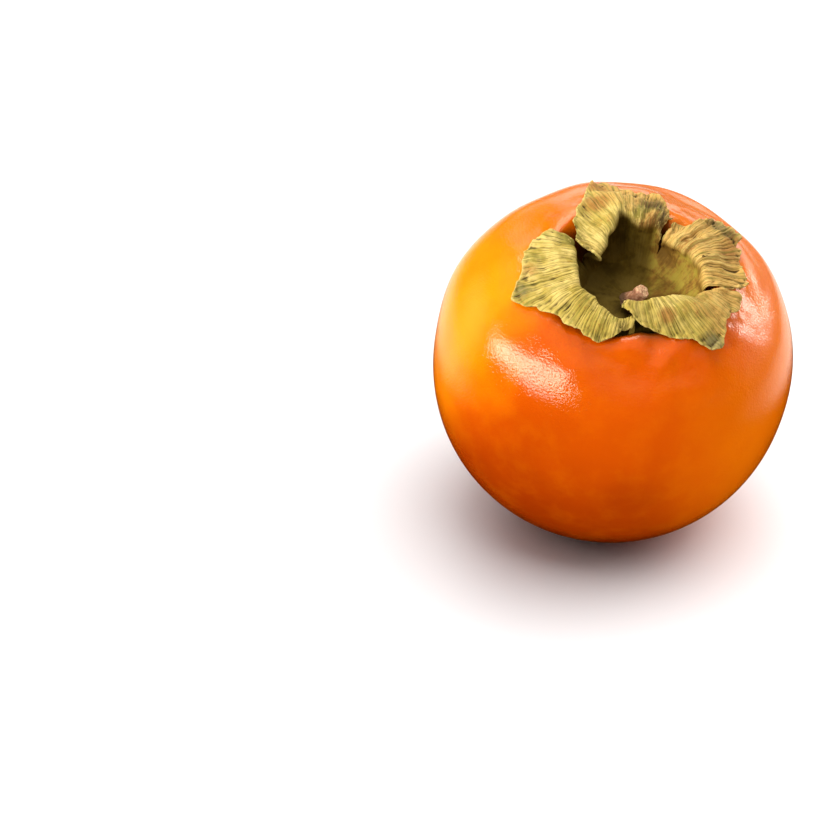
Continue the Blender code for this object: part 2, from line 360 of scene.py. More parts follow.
# %% The veins
# A vein is where the sheet folds (direction, radius, height) and where it ends (direction,
# radius, lift off the skin), in degrees and mm about the stem. Veins run left to right as seen
# from the stem. The base is where the sheet leaves the cup.
SEPALS = {
    "sepal_left": ((261, 149), (
        (262, 12.6, 33.2, 262, 14.4, 0.5), (250, 14.6, 33.5, 252, 17.4, 0.3),
        (236, 14.0, 34.0, 241, 21.0, 0.1), (220, 13.2, 34.2, 227, 20.6, 0.2),
        (205, 13.4, 34.3, 210, 21.6, 0.2), (193, 13.8, 34.4, 194, 27.2, 0.2),
        (180, 13.4, 34.4, 182, 23.8, 0.2), (166, 14.2, 34.3, 166, 23.6, 0.3),
        (148, 15.6, 32.6, 148, 20.6, 0.3),
    )),
    "sepal_front": ((346, 269), (
        (348, 17.0, 34.0, 350, 22.0, 0.3), (340, 15.0, 34.8, 341, 22.0, 0.3),
        (331, 13.6, 34.8, 330, 20.8, 0.4), (321, 12.0, 35.2, 321, 22.2, 0.3),
        (311, 10.2, 35.4, 312, 24.8, 0.2), (299, 9.2, 35.4, 302, 18.8, 0.2),
        (286, 9.0, 35.3, 289, 16.8, 0.2), (271, 9.4, 35.0, 275, 15.2, 0.3),
        (254, 10.3, 34.8, 255, 11.5, 2.5),
    )),
    "sepal_right": ((59, 348), (
        (58, 12.8, 32.6, 60, 15.8, 0.6), (48, 11.8, 33.8, 50, 19.0, 0.8),
        (39, 11.6, 34.6, 44, 25.8, 1.0), (30, 12.2, 35.0, 37, 27.2, 1.0),
        (21, 13.2, 35.0, 26, 25.0, 0.8), (12, 13.8, 34.8, 14, 23.4, 0.3),
        (2, 13.9, 34.2, 3, 22.6, 0.3), (349, 14.7, 33.4, 355, 21.6, 0.3),
    )),
    "sepal_back": ((146, 62), (
        (154, 9.4, 32.4, 150, 12.6, 1.6), (146, 9.4, 33.4, 144, 15.0, 1.5),
        (136, 9.9, 34.6, 135, 18.6, 1.4), (124, 10.6, 35.6, 122, 20.6, 1.3),
        (113, 12.2, 36.2, 111, 25.0, 1.3), (104, 15.4, 36.5, 103, 30.4, 1.7),
        (98, 14.8, 36.2, 94, 25.6, 1.2), (89, 11.6, 35.9, 85, 22.6, 0.8),
        (78, 12.2, 36.1, 77, 23.2, 0.8), (69, 14.0, 35.2, 69, 20.6, 0.8),
        (62, 12.9, 32.6, 63, 16.8, 0.8),
    )),
}
print("veins:", {name: len(veins) for name, (base, veins) in SEPALS.items()})

# %% [markdown]
# A vein's two given places, the fold and the edge, aren't enough for a curved sheet. So each
# vein becomes a line of eight places: up the wall of the cup, over the fold and down the flap,
# which stays clear of the skin under it. One more vein is put halfway between every two.

# %% From a vein to a line of places
RESTS_FROM = 20.5
CLEAR = 1.2
DIRECTIONS = (0, 3)


def mix(start, end, share):
    return start + (end - start) * share


def turn(start, end):
    """The short way round from one direction to another, in degrees."""
    return (end - start + 180) % 360 - 180


def with_halfway(veins):
    """Each vein, and one halfway to the next. Its first and fourth numbers are directions."""
    for vein, after in zip(veins, veins[1:]):
        yield vein
        pairs = enumerate(zip(vein, after))
        gaps = [turn(a, b) if i in DIRECTIONS else b - a for i, (a, b) in pairs]
        yield tuple(a + gap / 2 for a, gap in zip(vein, gaps))
    yield veins[-1]


def rest_height(radius):
    """Height at which a leaf lies just clear of the skin."""
    return skin_height(max(radius, RESTS_FROM)) + CLEAR


def vein_line(base, share, vein):
    """Places along one vein, from the cup's floor over the fold to the edge. Share is 0 to 1."""
    fold, fold_radius, fold_height, edge, edge_radius, lift = vein
    foot = base[0] + turn(*base) * share
    spread = 4 * (1 - 2 * share)
    lip_radius, lip_height = fold_radius - 1.4, fold_height - 1.6
    wall_radius = min(max(12.8, lip_radius + 1), 16)
    edge_height = rest_height(edge_radius) + lift
    flap_radius = mix(fold_radius, edge_radius, 0.62)
    flap_height = max(mix(fold_height, edge_height, 0.55), rest_height(flap_radius) + 0.3)
    towards_fold, towards_edge = turn(foot, fold), turn(fold, edge)
    return (
        # on the cup's floor, at its rim, and up the wall
        spot(foot + spread, 9.4, 24.2),
        spot(foot + spread * 0.5, 11.3, 26.4),
        spot(foot + 0.1 * towards_fold, wall_radius, mix(27.1, lip_height, 0.5)),
        # just inside the fold, on it, and just past it
        spot(foot + 0.7 * towards_fold, lip_radius, lip_height),
        spot(fold, fold_radius - 0.4, fold_height + 0.2),
        spot(fold + 0.3 * towards_edge, mix(fold_radius, edge_radius, 0.25),
             mix(fold_height, edge_height, 0.12) + 0.2),
        # on the flap, and at the free edge
        spot(fold + 0.65 * towards_edge, flap_radius, flap_height),
        spot(edge, edge_radius, edge_height),
    )


print("the skin under a leaf's edge is at", round(skin_height(RESTS_FROM), 1), "mm")

# %% [markdown]
# The grid starts flat, with one column for each vein and one row for each of the eight places.
# Every point is picked in turn and moved to its place, as by hand. Subdivision then rounds the
# sheet and divides its map with it.

# %% Lay a sheet over its veins


def lay_sheet(name, base, veins):
    """A grid with a column of points on every vein, left in edit mode."""
    lines = list(with_halfway(veins))
    lines = [vein_line(base, i / (len(lines) - 1), vein) for i, vein in enumerate(lines)]
    bpy.ops.object.select_all(action="DESELECT")
    bpy.ops.mesh.primitive_grid_add(
        x_subdivisions=len(lines) - 1, y_subdivisions=len(lines[0]) - 1, size=2,
        calc_uvs=True, enter_editmode=True,
    )
    sheet = bpy.context.object
    sheet.name = sheet.data.name = name
    shape = bmesh.from_edit_mesh(sheet.data)
    for point in shape.verts:
        column = round((point.co.x + 1) / 2 * (len(lines) - 1))
        row = round((point.co.y + 1) / 2 * (len(lines[0]) - 1))
        bpy.ops.mesh.select_all(action="DESELECT")
        point.select = True
        bpy.ops.transform.translate(value=lines[column][row] - point.co)
    return sheet


def sheet_places(sheet):
    """Each point's number with its place on the sheet's map: across and along, 0 to 1."""
    flat_map = sheet.data.uv_layers[0].data
    return {loop.vertex_index: tuple(flat_map[loop.index].uv) for loop in sheet.data.loops}


sheets = {}
for node, (base, veins) in SEPALS.items():
    sheet = lay_sheet(node + "_dried", base, veins)
    bpy.ops.object.mode_set(mode="OBJECT")
    subdivide(sheet, 3)
    sheets[node] = sheet
    print(sheet.name, "has", len(sheet.data.vertices), "points")

# %% [markdown]
# A dried margin is never a clean curve: it is nicked where it tore and pointed where a vein runs
# out. Each nick is one small proportional pull of a point of the margin, in or out.

# %% Fray the margins
NICKS = 34
# How deep each leaf's nicks may be, in mm.
FRAY = {"sepal_left": 0.5, "sepal_front": 0.4, "sepal_right": 0.7, "sepal_back": 0.6}
FREE_EDGE = 0.999
NICK_WIDTHS = (1.0, 2.4)
chance = random.Random(7)


def fray(sheet, strength):
    """Nicks the free edge of a sheet, at points that are drawn at random."""
    places = sheet_places(sheet)
    margin = sorted(i for i, (across, along) in places.items() if along > FREE_EDGE)
    middle = spot(0, 0, 33)
    for index in chance.sample(margin, NICKS):
        place = sheet.data.vertices[index].co.copy()
        outwards = (place - middle).normalized()
        distance = strength * chance.uniform(-1.0, 0.7)
        rise = strength * chance.uniform(-0.1, 0.8) * STEM_WAY
        only(sheet)
        bpy.ops.object.mode_set(mode="EDIT")
        pull(sheet, place, MM * (distance * outwards + rise), chance.uniform(*NICK_WIDTHS))
        bpy.ops.object.mode_set(mode="OBJECT")


for node, strength in FRAY.items():
    fray(sheets[node], strength)
    print(sheets[node].name, "has", NICKS, "nicks of up to", strength, "mm")

# %% [markdown]
# A few larger shapes are pulled one by one: the front leaf ends in a sharp, raised corner, and the
# left leaf has a valley between its two halves.

# %% Pull the corner and the valley
# Sheet, then a direction, radius and height, the move right, back and up in mm, and the width.
PULLS = (
    ("sepal_front", (254, 11.0, 34.8), (-0.7, 0.4, 0.3), 4.5),
    ("sepal_front", (253, 11.8, 35.1), (-0.7, 0.4, 0.1), 1.8),
    ("sepal_left", (189, 15.0, 34.5), (0.3, 0.0, -0.9), 3.2),
    ("sepal_left", (190, 18.0, 34.3), (0.3, 0.0, -1.1), 3.4),
    ("sepal_left", (191, 21.0, 33.6), (0.3, 0.0, -1.0), 3.2),
)
for node, (azimuth, radius, height), (right, back, up), width in PULLS:
    only(sheets[node])
    bpy.ops.object.mode_set(mode="EDIT")
    move = MM * (right * RIGHT_WAY + back * BACK_WAY + up * STEM_WAY)
    pull(sheets[node], spot(azimuth, radius, height), move, width)
    bpy.ops.object.mode_set(mode="OBJECT")
print("pulled", len(PULLS), "places by hand")

# %% [markdown]
# ## Wrinkles
# A drying leaf shrinks between its veins, so its wrinkles run along them. We copy the sheet's map
# and give it a real scale across the veins, but squeeze it along them. A round cloud texture on
# that map then comes out as long thin folds. Weights say where: the folds grow from the cup to
# the free edge, and a ruffle takes the margin only.

# %% The map for the grain, and the weights
MAP_UNIT = 2
SQUEEZE = 14


def add_grain_map(sheet, wide, long):
    """A second map: one unit is 2 mm across the veins, and 14 times as long along them."""
    flat_map = sheet.data.uv_layers[0].data
    grain = sheet.data.uv_layers.new(name="grain")
    for place, source in zip(grain.data, flat_map):
        place.uv = (source.uv.x * wide / MAP_UNIT, source.uv.y * long / MAP_UNIT / SQUEEZE)


def weigh(sheet, name, rule):
    """A vertex group whose weights follow a rule of the place across and along the sheet."""
    group = sheet.vertex_groups.new(name=name)
    for index, place in sheet_places(sheet).items():
        group.add([index], max(0.0, min(1.0, rule(*place))), "REPLACE")


def fold_weight(across, along):
    """0.15 or less down in the cup, and 1 from about two thirds of the way to the free edge."""
    return 0.15 + 2.2 * (along - 0.3)


def margin_weight(across, along):
    """1 at the sides and the free edge, 0 further in and on the lower half of the sheet."""
    side = min(across, 1 - across) / 0.06
    return (1 - min(side, (1 - along) / 0.12)) * (along > 0.4)


print("weight of the folds halfway up a sheet:", round(fold_weight(0.5, 0.5), 2))

# %% [markdown]
# Each sheet first gets lumps all over, as dry leaves do. Then come three layers on the grain
# map, from broad pleats over creases to hair-fine ridges, and last the ruffled margin. The
# sheet is a bare surface until then, so Solidify gives it the thickness of a dry leaf.

# %% Wrinkle the sheets
WRINKLES = {
    # node: width and length, then the height of the pleats, creases and fine ridges, in mm
    "sepal_left": (38, 22, 1.2, 0.60, 0.25),
    "sepal_front": (26, 22, 1.1, 0.28, 0.18),
    "sepal_right": (24, 24, 2.4, 0.75, 0.35),
    "sepal_back": (28, 26, 2.4, 0.70, 0.30),
}
LEAF_THICKNESS = 0.45
for node, (wide, long, pleats, creases, fine) in WRINKLES.items():
    sheet = sheets[node]
    subdivide(sheet, 1)
    add_grain_map(sheet, wide, long)
    weigh(sheet, "folds", fold_weight)
    weigh(sheet, "margin", margin_weight)
    along_veins = {"coordinates": "UV", "uv_layer": "grain", "vertex_group": "folds"}
    lumps(sheet, "SOFT_NOISE", size=0.0035, height=1.2)
    lumps(sheet, "SOFT_NOISE", size=2.6, height=pleats, **along_veins)
    lumps(sheet, "CREASES", size=2.0, height=creases, **along_veins)
    lumps(sheet, "HARD_NOISE", size=0.6, height=-fine, **along_veins)
    lumps(sheet, "SOFT_NOISE", size=0.0022, height=1.2, vertex_group="margin")
    modify(sheet, "SOLIDIFY", thickness=LEAF_THICKNESS * MM, offset=0.0)
    done(sheet, "calyx", node)

# %% [markdown]
# ## The stem
# The fruit was clipped off its twig. What is left is a woody stub with a flared foot, ridged bark
# and a pale cut end. It is round, so it is spun from a section like the cup. But it leans, so it
# is turned round an axis of its own, and two layers of lumps take away the look of a lathe.

# %% Turn the stem
STEM_TILT = math.radians(28)
FOOT_HEIGHT = 25.35
stem_axis = math.sin(STEM_TILT) * RIGHT_WAY + math.cos(STEM_TILT) * STEM_WAY
stem_side = math.cos(STEM_TILT) * RIGHT_WAY - math.sin(STEM_TILT) * STEM_WAY
stem_foot = spot(0, 0, FOOT_HEIGHT, about=STEM_FOOT)
# Radius and height above the foot, in mm.
STEM_SECTION = (
    (0.0, 5.2), (0.9, 5.25), (1.3, 5.3), (1.6, 5.1), (1.72, 4.6), (1.65, 3.9), (1.6, 3.2),
    (1.65, 2.4), (1.8, 1.6), (2.1, 0.9), (2.5, 0.35), (2.4, 0.05), (1.2, 0.0), (0.0, 0.0),
)
stem_outline = [stem_foot + MM * (r * stem_side + h * stem_axis) for r, h in STEM_SECTION]
stem = turn_outline("stem_stub", stem_outline, stem_axis, steps=32)
bpy.ops.object.mode_set(mode="OBJECT")
subdivide(stem, 2)
lumps(stem, "SOFT_NOISE", size=0.0016, height=0.8)
lumps(stem, "HARD_NOISE", size=0.0006, height=0.18)
done(stem, "stem", "stem")

# %% [markdown]
# ## The style tip
# Opposite the stem is the dry point left by the flower: a dark cone, on a small corky ring. It
# hardly shows, so a short spun section is enough, with one layer of lumps.

# %% Turn the style tip
TIP_SECTION = (
    (0.0, -38.4), (0.7, -38.45), (1.25, -38.65), (1.15, -38.9), (0.8, -39.15), (0.45, -39.4),
    (0.3, -39.6), (0.0, -39.6),
)
tip_outline = [spot(0, radius, height, about=(0, 0)) for radius, height in TIP_SECTION]
tip = turn_outline("style_tip_dried", tip_outline, STEM_WAY, steps=16)
bpy.ops.object.mode_set(mode="OBJECT")
subdivide(tip, 2)
lumps(tip, "HARD_NOISE", size=0.0005, height=0.25)
done(tip, "style", "style_tip")

# %% [markdown]
# ## Shader maths as plain Python
# Materials here are sums of masks and noises. Wiring each sum by hand hides what it means, so
# one small class wraps a socket, and Python's own operators add the Math nodes: `1 - mask` is a
# Subtract node with the mask in its second socket.

# %% A socket that can be added and multiplied


class Socket:
    """One output of a node, as a number that the operators work on."""

    def __init__(self, nodes, link):
        self.nodes, self.link = nodes, link

    def math(self, operation, other, flipped=False):
        pair = (other, self) if flipped else (self, other)
        return self.nodes.node("Math", {"operation": operation}, {0: pair[0], 1: pair[1]})

    def __add__(self, other):
        return self.math("ADD", other)

    def __sub__(self, other):
        return self.math("SUBTRACT", other)

    def __rsub__(self, other):
        return self.math("SUBTRACT", other, flipped=True)

    def __mul__(self, other):
        return self.math("MULTIPLY", other)

    __radd__, __rmul__ = __add__, __mul__

    def rise(self, low, high):
        """0 below low, 1 above high, and a smooth step between. It falls if low is above high."""
        ends = {"From Min": min(low, high), "From Max": max(low, high)}
        if low > high:
            ends.update({"To Min": 1.0, "To Max": 0.0})
        return self.nodes.node(
            "MapRange", {"interpolation_type": "SMOOTHSTEP"}, {"Value": self, **ends}
        )


# %% [markdown]
# Any other node comes from one method, which takes a node's type, its settings and what goes
# into its sockets. The short methods under it name the nodes that come back often.

# %% A tree that nodes are added to


class Nodes:
    """A node tree, and one method that adds any node to it."""

    def __init__(self, tree):
        self.tree = tree

    def feed(self, node, inputs):
        for name, value in inputs.items():
            if isinstance(value, Socket):
                self.tree.links.new(value.link, node.inputs[name])
            else:
                node.inputs[name].default_value = value

    def node(self, kind, settings, inputs, output=0):
        node = self.tree.nodes.new("ShaderNode" + kind)
        for name, value in settings.items():
            setattr(node, name, value)
        self.feed(node, inputs)
        return Socket(self, node.outputs[output])

    def mix(self, share, first, second):
        """A colour between two colours. Colour sockets of the Mix node are inputs 6 and 7."""
        colours = {6: first, 7: second, 0: share}
        for slot in (6, 7):
            if not isinstance(colours[slot], Socket):
                colours[slot] = (*colours[slot], 1.0)
        return self.node("Mix", {"data_type": "RGBA"}, colours, 2)

    def noise(self, vector, scale, detail=2.0, roughness=0.5):
        return self.node("TexNoise", {}, {
            "Vector": vector, "Scale": scale, "Detail": detail, "Roughness": roughness,
        })

    def parts(self, vector):
        return [self.node("SeparateXYZ", {}, {"Vector": vector}, axis) for axis in range(3)]

    def joined(self, x, y, z):
        return self.node("CombineXYZ", {}, {"X": x, "Y": y, "Z": z})


# %% [markdown]
# A paint is a material: one Principled shader, steady values set on its own sockets, and nodes
# for what varies. Its patterns lie on object coordinates, turned to the fruit's own directions
# and counted in millimetres, so that a scale of 1 is a pattern about a millimetre wide.

# %% A paint


class Paint(Nodes):
    """A material with one Principled shader, and the nodes that feed it."""

    def __init__(self, name, **steady):
        self.material = bpy.data.materials.new(name)
        self.material.use_nodes = True
        super().__init__(self.material.node_tree)
        self.shader = self.tree.nodes["Principled BSDF"]
        for socket, value in steady.items():
            self.shader.inputs[socket.replace("_", " ")].default_value = value

    def own_mm(self):
        """Object coordinates turned into millimetres along the fruit's own directions."""
        place = self.node("TexCoord", {}, {}, "Object")
        turned = Matrix((RIGHT_WAY, BACK_WAY, STEM_WAY)).transposed().to_euler()
        return self.node("Mapping", {"vector_type": "TEXTURE"}, {
            "Vector": place, "Location": MIDDLE, "Rotation": turned, "Scale": (MM, MM, MM),
        })

    def bump(self, height, distance, under=None):
        inputs = {"Height": height, "Distance": distance * MM}
        if under is not None:
            inputs["Normal"] = under
        return self.node("Bump", {}, inputs)

    def on(self, piece):
        piece.data.materials.clear()
        piece.data.materials.append(self.material)


# %% [markdown]
# ## The skin
# Persimmon skin is waxed orange. Its yellow left side and deep red lower front are partly its own
# colour and partly painted light and shade. It is glossy, but not like glass: tiny pores break the
# edges of every highlight. A little light travels under the skin, which softens the shadows.

# %% Start the skin
skin = Paint(
    "persimmon_skin", Specular_IOR_Level=0.36, Subsurface_Weight=0.1, Subsurface_Scale=0.004
)
skin.shader.inputs["Subsurface Radius"].default_value = (1.0, 0.35, 0.1)
skin.shader.inputs["Specular Tint"].default_value = (1.0, 0.84, 0.62, 1.0)
skin_place = skin.own_mm()
gloss = skin.shader.inputs["Specular IOR Level"].default_value
print("the skin's gloss level:", round(gloss, 2))

# %% [markdown]
# The colour is one orange, mixed towards yellow on the left and red at the lower front, partly as
# the fruit ripened and partly as painted light and painted shade. The yellow on the crown is partly
# painted sheen, and the yellow on the right side is painted light.
# A side is a mask: how far the surface faces one way from the middle. A broad noise makes the
# edge of the mask ragged, because colour never changes along a clean line.

# %% Orange, with a yellow side and a red one
ORANGE, YELLOW, RED = (0.43, 0.056, 0.0003), (0.76, 0.21, 0.001), (0.24, 0.023, 0.0002)
mottle = skin.noise(skin_place, 0.045, detail=3.0)
cloud = skin.noise(skin_place, 0.16, detail=4.0, roughness=0.6)


def side(way, ragged):
    """How far the skin lies towards one direction from the middle, from -1 to 1."""
    outward = skin.node("VectorMath", {"operation": "NORMALIZE"}, {0: skin_place})
    facing = skin.node(
        "VectorMath", {"operation": "DOT_PRODUCT"}, {0: outward, 1: Vector(way).normalized()}, 1
    )
    return facing + (mottle - 0.5) * ragged


# Painted light and shade: the yellow left and red lower front are partly the skin's own colour, the
# yellow crown is partly painted sheen, and the yellow right side is painted light.
yellow_and_lit_side = side((-0.93, 0.12, 0.33), 0.5).rise(0.62, 1.05)
red_and_shaded_side = side((-0.35, -0.8, -0.5), 0.5).rise(0.35, 1.0)
crown_yellow_and_sheen = side((0.3, 0.75, 0.6), 0.4).rise(0.2, 1.0)
painted_light_right = side((0.91, -0.4, 0.05), 0.4).rise(0.5, 0.95)
tone = skin.mix(red_and_shaded_side, ORANGE, RED)
tone = skin.mix(yellow_and_lit_side, tone, YELLOW)
tone = skin.mix(crown_yellow_and_sheen * 0.45, tone, YELLOW)
tone = skin.mix(painted_light_right * 0.3, tone, YELLOW)
tone = skin.mix((cloud - 0.5).rise(-0.1, 0.3) * 0.09, tone, YELLOW)
print("nodes in the skin so far:", len(skin.tree.nodes))

# %% [markdown]
# The skin in the well, under the leaves and behind the left leaf is painted dark brown as shade. It
# goes brown with the distance from the stem, and round one place.

# %% Painted shade: brown skin under the leaves
PAINTED_SHADE_UNDER_LEAVES = (0.10, 0.025, 0.002)
BEHIND_LEAF = Vector(own(spot(150, 16.5, 29.0)))
right, back, up = skin.parts(skin_place)
ring = skin.joined(right - CALYX[0], back - CALYX[1], up * 0)
from_stem = skin.node("VectorMath", {"operation": "LENGTH"}, {0: ring}, 1)
# Painted shade: the skin goes dark brown near the stem, and round the place behind the left leaf.
tone = skin.mix(from_stem.rise(17.5, 14.5) * up.rise(0, 10), tone, PAINTED_SHADE_UNDER_LEAVES)
away = skin.node("VectorMath", {"operation": "DISTANCE"}, {0: skin_place, 1: BEHIND_LEAF}, 1)
tone = skin.mix(away.rise(4.0, 2.2), tone, PAINTED_SHADE_UNDER_LEAVES)
skin.feed(skin.shader, {"Base Color": tone})
print("brown behind the left leaf, mm:", [round(v, 1) for v in BEHIND_LEAF])

# %% [markdown]
# Last comes the gloss. Fine pores and broad, faint waves go into the bump, so that no highlight
# has a clean edge, and the pores are also a little rougher than the wax between them.

# %% Pores and waves, which break the gloss
PORE_DEPTH, WAVE_DEPTH = 0.065, 0.12
pores = skin.noise(skin_place, 2.2, detail=2.0, roughness=0.55)
waves = skin.noise(skin_place, 0.14, detail=1.0)
skin.feed(skin.shader, {
    "Roughness": 0.04 + pores * 0.05,
    "Normal": skin.bump(pores, PORE_DEPTH, skin.bump(waves, WAVE_DEPTH)),
})
skin.on(fruit)
print("nodes in the skin:", len(skin.tree.nodes))

# %% [markdown]
# ## The dried calyx
# Dry sepals are the colour of straw with some green left in them, and the tips are scorched brown.
# Painted shade darkens the grooves between the ridges, and painted light brightens the ridges:
# Pointiness, which tells ridges from grooves, does both. Streaks that run with the veins come from
# the same squeezed map as the wrinkles. The inner wall of the cup kept more green. Below the fold
# and deep in the cup it is painted darker, partly as shade, and darkest at the left.

# %% Colours of dry leaves
STRAW, OLIVE, GREEN = (0.53, 0.385, 0.115), (0.31, 0.22, 0.035), (0.15, 0.135, 0.02)
# Painted shade inside the cup: the deep brown is partly the wall's own colour and partly shade, and
# the darker patches deep in the cup are painted shade.
TAN, DEEP_SHADE_BROWN, RECESS_SHADE = (0.52, 0.28, 0.075), (0.085, 0.048, 0.001), (0.03, 0.014, 0.001)
WALL_GREEN, WALL_TAN = (0.27, 0.195, 0.02), (0.26, 0.125, 0.018)
# The darkest brown is painted shade in grooves, folds and gaps, and the real colour of one scorched
# tip. The moss green is painted shade in folds.
BROWN, SHADE_AND_BURN_DARK = (0.25, 0.10, 0.02), (0.04, 0.022, 0.006)
GREY, GREEN_SHADE = (0.10, 0.085, 0.04), (0.12, 0.10, 0.01)
# Burnt tips and bruises, and spots of painted shade in the folds of the back and left leaves and
# in the gap between the left and front leaves: direction, radius, height and size, in degrees and
# mm, and the colour.
BURNS_AND_SHADE_SPOTS = (
    (181, 22.6, 32.8, 2.2, BROWN), (191, 25.0, 31.5, 2.6, GREY), (150, 15.8, 33.6, 3.0, GREEN_SHADE),
    (78, 18.6, 34.2, 3.0, SHADE_AND_BURN_DARK), (71, 16.8, 34.3, 2.4, SHADE_AND_BURN_DARK), (80, 12.8, 34.8, 2.8, BROWN),
    (115, 18.8, 34.6, 3.2, BROWN), (106, 26.1, 32.0, 3.4, BROWN), (41, 24.8, 31.8, 2.6, GREY),
    (33, 24.6, 32.0, 2.6, SHADE_AND_BURN_DARK), (20, 21.7, 33.4, 3.2, BROWN), (34, 12.6, 34.6, 2.2, BROWN),
    (312, 22.2, 32.6, 2.6, GREY), (293, 13.0, 34.6, 2.0, BROWN), (270, 12.8, 28.2, 4.2, SHADE_AND_BURN_DARK),
    (88, 13.4, 35.6, 2.0, GREEN_SHADE), (83, 16.0, 35.2, 2.2, GREEN_SHADE), (66, 14.0, 34.6, 2.2, SHADE_AND_BURN_DARK),
    (27, 23.6, 33.0, 2.4, BROWN), (288, 13.4, 28.6, 3.8, SHADE_AND_BURN_DARK),
)
print("burns and bruises:", len(BURNS_AND_SHADE_SPOTS))

# %% [markdown]
# One function paints both the sepals and the cup, because they are one tissue. It is put
# together from four steps: the dry tissue, the burns with spots of painted shade, the painted
# shade and light of the ridges, and the wall inside the cup. The burns and the ridges take the
# tone so far and give it back changed.

# %% The tissue, the burns and painted shade, and the shaded ridges


def dry_tissue(calyx, place, broad, blotches, outside):
    """Straw and olive in patches, greener in front, and tan where the sun fell."""
    right, back, up = calyx.parts(place)
    tone = calyx.mix(blotches.rise(0.35, 0.65), STRAW, OLIVE)
    tone = calyx.mix(broad.rise(0.5, 0.62) * 0.45, tone, OLIVE)
    tone = calyx.mix(back.rise(-7, -15) * 0.55, tone, OLIVE)
    sunny = (right * 0.06 + back * 0.04 + blotches * 2).rise(1.0, 1.7)
    return calyx.mix(sunny * 0.7 * outside, tone, TAN)


def burnt_and_shaded(calyx, place, tone, specks):
    """Burns and bruises, and spots of painted shade, whose edges the specks make ragged."""
    for azimuth, radius, height, size, mark_colour in BURNS_AND_SHADE_SPOTS:
        centre = Vector(own(spot(azimuth, radius, height)))
        away = calyx.node("VectorMath", {"operation": "DISTANCE"}, {0: place, 1: centre}, 1)
        edge = (away + (specks - 0.5) * size).rise(size * 1.3, size * 0.4)
        tone = calyx.mix(edge * 0.8, tone, mark_colour)
    return tone


def ridge_light_and_shade(calyx, tone, veins, outside):
    """Painted shade in the grooves, painted light on the ridges, and green lines along the veins.
    """
    sharp = calyx.node("NewGeometry", {}, {}, "Pointiness")
    # Painted shade in the grooves, and painted light on the ridges.
    tone = calyx.mix(sharp.rise(0.505, 0.465) * 0.95 * outside, tone, SHADE_AND_BURN_DARK)
    tone = calyx.mix(sharp.rise(0.51, 0.58) * 0.5 * outside, tone, STRAW)
    return calyx.mix(veins.rise(0.12, 0.0) * 0.6 * outside, tone, GREEN)


# %% The inner wall, and the whole paint


def inner_wall(calyx, place, blotches, specks):
    """Green and tan on the right, where light falls in, and deep brown on the left, partly painted
    shade.
    """
    right, back, up = calyx.parts(place)
    wall = calyx.mix((blotches + specks * 0.3).rise(0.55, 0.75), WALL_GREEN, WALL_TAN)
    # The deep brown at the left is partly the wall's own colour and partly painted shade.
    return calyx.mix(right.rise(3.0, 5.5), DEEP_SHADE_BROWN, wall)


def paint_calyx(name, streak_place, depth):
    """Depth is a function that gives a socket: 0 in the open, 1 deep in the cup."""
    calyx = Paint(name, Roughness=0.75, Specular_IOR_Level=0.08)
    place = calyx.own_mm()
    grain = streak_place(calyx, place)
    inside = depth(calyx, place)
    outside = 1 - inside * 0.8
    streaks = calyx.noise(grain, 1.0, detail=3.0, roughness=0.65)
    broad = calyx.noise(grain, 0.3, detail=2.0)
    blotches = calyx.noise(place, 0.22, detail=4.0, roughness=0.6)
    specks = calyx.noise(place, 1.3, detail=3.0, roughness=0.7)
    veins = calyx.node("TexWave", {"bands_direction": "X"}, {
        "Vector": grain, "Scale": 0.2, "Distortion": 5.0, "Detail": 2.0, "Detail Scale": 1.2,
    }, 1)
    tone = dry_tissue(calyx, place, broad, blotches, outside)
    tone = calyx.mix(streaks.rise(0.53, 0.66) * 0.7 * outside, tone, GREEN)
    tone = calyx.mix((specks + blotches * 0.6).rise(0.9, 1.06) * 0.6, tone, BROWN)
    tone = burnt_and_shaded(calyx, place, tone, specks)
    tone = ridge_light_and_shade(calyx, tone, veins, outside)
    # Painted shade: deep in the cup and below the fold the wall turns darker, deep brown at the
    # left and darker still in patches.
    tone = calyx.mix(inside * 0.9, tone, inner_wall(calyx, place, blotches, specks))
    tone = calyx.mix((streaks * 0.5 + blotches).rise(0.68, 0.9) * inside * 0.5, tone, RECESS_SHADE)
    calyx.feed(calyx.shader, {
        "Base Color": tone,
        "Normal": calyx.bump((streaks + specks * 0.5 + veins * 0.6) * outside, 0.15),
    })
    print(name, "has", len(calyx.tree.nodes), "nodes")
    return calyx


# %% [markdown]
# The sepals have a map, which says how far along the leaf a place is and which way its grain
# runs. The cup has none, so its depth comes from its height, and its streaks from the direction
# about the stem.

# %% Paint the sepals and the cup


def sheet_depth(calyx, place):
    across, along = calyx.parts(calyx.node("UVMap", {"uv_map": "UVMap"}, {}, "UV"))[:2]
    # Below the fold the wall is painted darker, partly as shade under the fold.
    return along.rise(0.52, 0.38)


def cup_depth(calyx, place):
    right, back, up = calyx.parts(place)
    # Deep in the cup the wall is painted darker, partly as shade.
    return up.rise(28.0, 26.0)


def along_grain(calyx, place):
    grain = calyx.node("UVMap", {"uv_map": "grain"}, {}, "UV")
    return calyx.node("Mapping", {}, {"Vector": grain, "Scale": (3.2, 3.2, 1.0)})


def round_the_stem(calyx, place):
    """A place on streaks that all point at the stem."""
    right, back, up = calyx.parts(place)
    way = calyx.node("Math", {"operation": "ARCTAN2"}, {0: back - CALYX[1], 1: right - CALYX[0]})
    return calyx.joined(way * 5, up * 0.3, 0.0)


sepal_paint = paint_calyx("sepal_straw", along_grain, sheet_depth)
for sheet in sheets.values():
    sepal_paint.on(sheet)
cup_paint = paint_calyx("cup_olive", round_the_stem, cup_depth)
cup_paint.on(cup)

